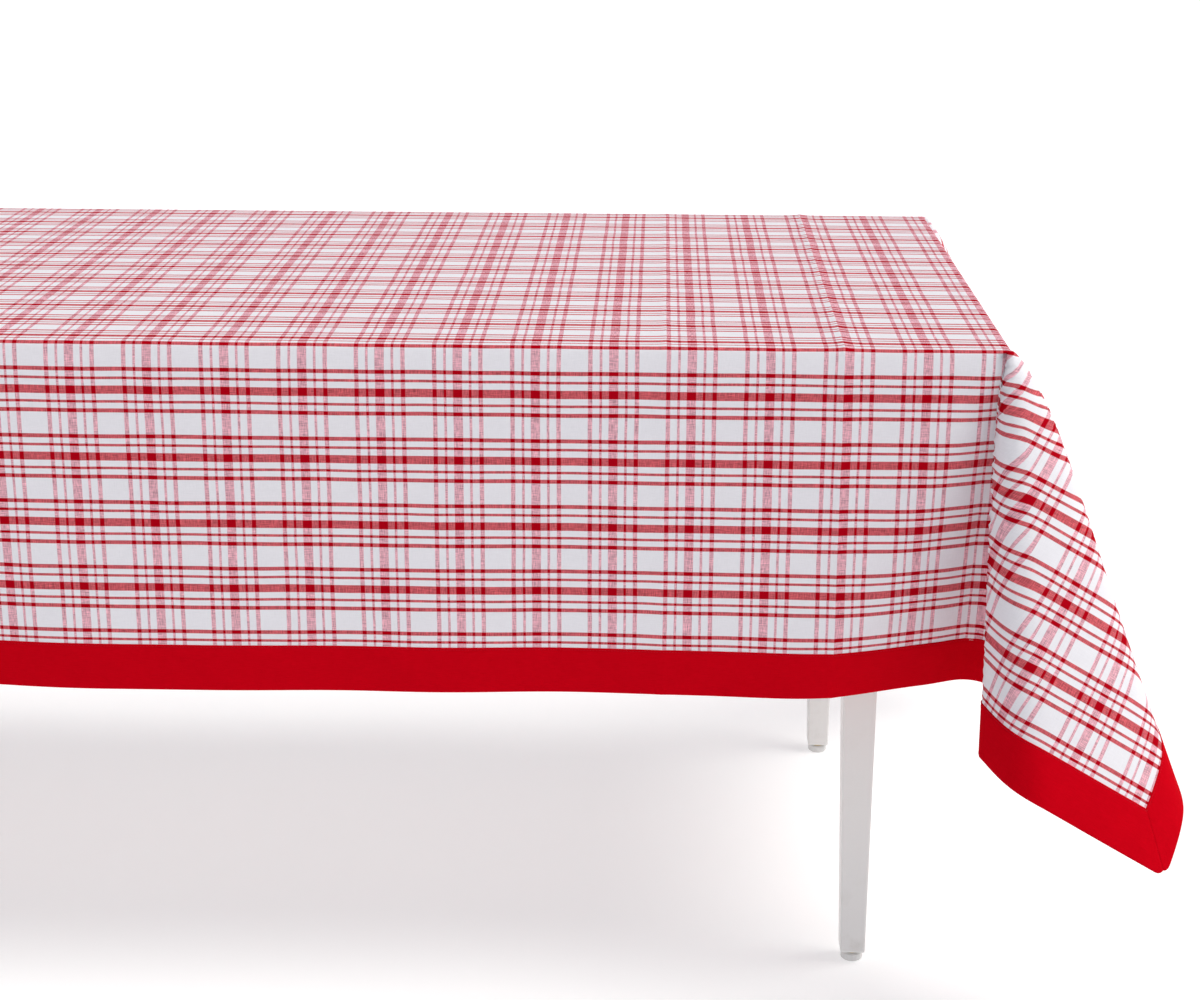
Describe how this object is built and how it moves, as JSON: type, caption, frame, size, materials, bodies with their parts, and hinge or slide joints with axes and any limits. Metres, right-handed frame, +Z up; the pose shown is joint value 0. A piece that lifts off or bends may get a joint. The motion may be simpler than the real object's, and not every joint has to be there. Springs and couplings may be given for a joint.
{
  "type": "tablecloth on a table",
  "caption": "Oblong plaid cotton tablecloth with a plain mitred border, draped over a rectangular four-legged table and lifting off it.",
  "frame": {"origin": "on the floor, under the middle of the table", "axes": "+X along the table, +Y across it towards the back, +Z up; the side seen in the picture faces -Y"},
  "size_m": [2.2374, 1.1704, 0.7388],
  "materials": {
    "plaid_cotton": "yarn-dyed plain weave cotton, red and rose stripes on white, matte",
    "red_cotton": "plain weave red cotton, folded double, matte",
    "red_thread": "spun sewing thread",
    "white_laminate": "particle board with white satin laminate",
    "white_paint": "white satin paint on wood",
    "bare_wood": "planed, unfinished",
    "zinc_steel": "zinc plated",
    "brass": "turned, bare",
    "white_nylon": "moulded, matte"
  },
  "bodies": {
    "table": {"table_top": "white_laminate", "apron_front": "white_paint", "apron_back": "white_paint", "apron_left": "white_paint", "apron_right": "white_paint", "leg_front_left": "white_paint", "leg_front_right": "white_paint", "leg_back_left": "white_paint", "leg_back_right": "white_paint", "corner_block_front_left": "bare_wood", "corner_block_front_right": "bare_wood", "corner_block_back_left": "bare_wood", "corner_block_back_right": "bare_wood", "leg_bolt_front_left": "zinc_steel", "leg_bolt_front_right": "zinc_steel", "leg_bolt_back_left": "zinc_steel", "leg_bolt_back_right": "zinc_steel", "top_clip_front_left": "zinc_steel", "top_clip_front_right": "zinc_steel", "top_clip_back_left": "zinc_steel", "top_clip_back_right": "zinc_steel", "top_clip_left": "zinc_steel", "top_clip_right": "zinc_steel", "foot_insert_front_left": "brass", "foot_insert_front_right": "brass", "foot_insert_back_left": "brass", "foot_insert_back_right": "brass"},
    "cloth": {"plaid_panel": "plaid_cotton", "border_band_front": "red_cotton", "border_band_back": "red_cotton", "border_band_left": "red_cotton", "border_band_right": "red_cotton", "topstitch_front": "red_thread", "topstitch_back": "red_thread", "topstitch_left": "red_thread", "topstitch_right": "red_thread", "mitre_seam_front_left": "red_thread", "mitre_seam_front_right": "red_thread", "mitre_seam_back_left": "red_thread", "mitre_seam_back_right": "red_thread"},
    "foot_front_left": {"levelling_foot_front_left": "white_nylon"},
    "foot_front_right": {"levelling_foot_front_right": "white_nylon"},
    "foot_back_left": {"levelling_foot_back_left": "white_nylon"},
    "foot_back_right": {"levelling_foot_back_right": "white_nylon"}
  },
  "joints": [
    {"name": "cloth_lift", "type": "slide", "parent": "table", "child": "cloth", "axis": [0, 0, 1], "range_m": [0, 0.5]},
    {"name": "foot_screw_front_left", "type": "slide", "parent": "table", "child": "foot_front_left", "axis": [0, 0, -1], "range_m": [0, 0.01]},
    {"name": "foot_screw_front_right", "type": "slide", "parent": "table", "child": "foot_front_right", "axis": [0, 0, -1], "range_m": [0, 0.01]},
    {"name": "foot_screw_back_left", "type": "slide", "parent": "table", "child": "foot_back_left", "axis": [0, 0, -1], "range_m": [0, 0.01]},
    {"name": "foot_screw_back_right", "type": "slide", "parent": "table", "child": "foot_back_right", "axis": [0, 0, -1], "range_m": [0, 0.01]}
  ]
}
